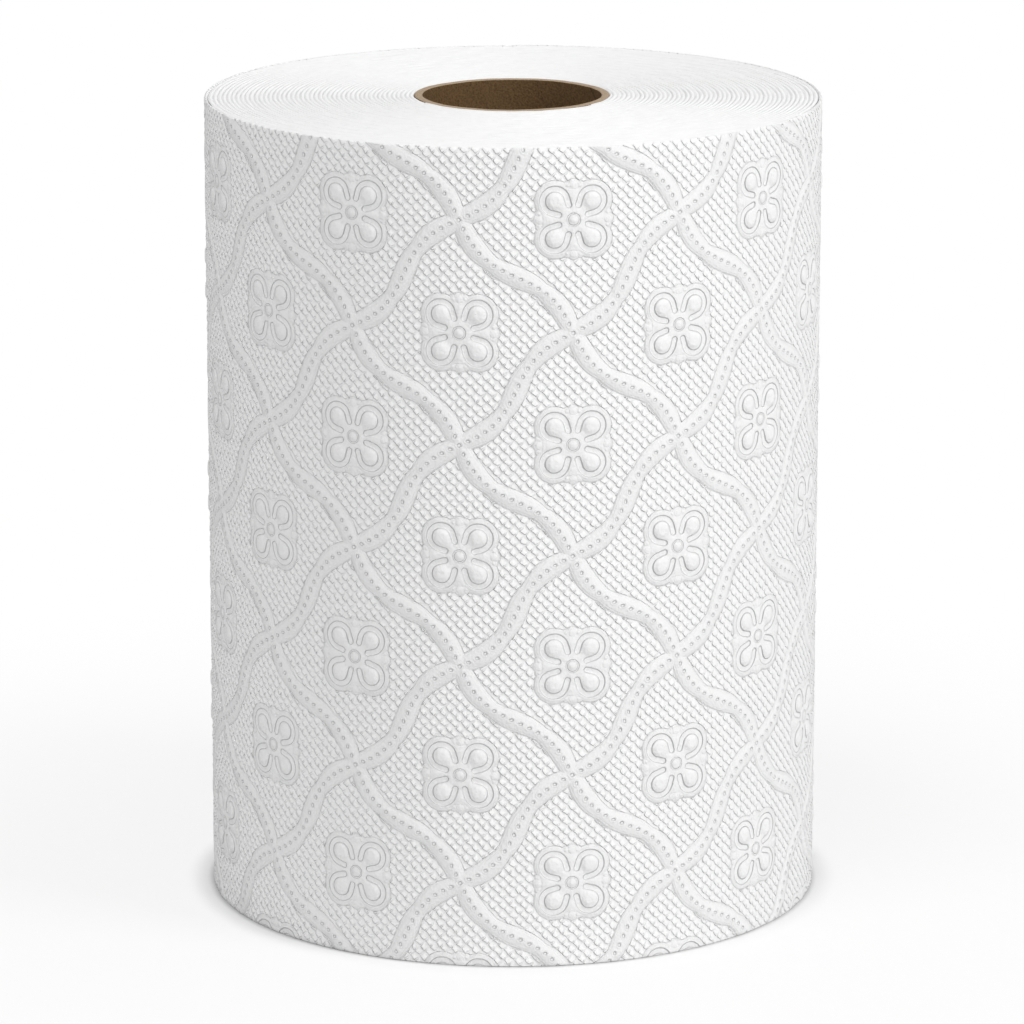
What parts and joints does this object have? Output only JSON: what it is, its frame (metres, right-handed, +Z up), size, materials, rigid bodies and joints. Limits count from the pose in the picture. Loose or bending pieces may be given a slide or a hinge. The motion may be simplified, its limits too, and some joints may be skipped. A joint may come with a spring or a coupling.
{
  "type": "paper towel roll",
  "caption": "Embossed kitchen paper towel wound on a cardboard core tube, standing on its end.",
  "frame": {"origin": "middle of the underside, on the axis of the core", "axes": "+Z up along the axis of the core, -Y towards the side that the picture shows, the tail edge at the back on +Y"},
  "size_m": [0.1519, 0.1524, 0.2],
  "materials": {
    "paper": "matte embossed tissue",
    "cardboard": "uncoated kraft board"
  },
  "bodies": {
    "root": {"paper_roll": "paper", "cardboard_core": "cardboard"}
  },
  "joints": []
}
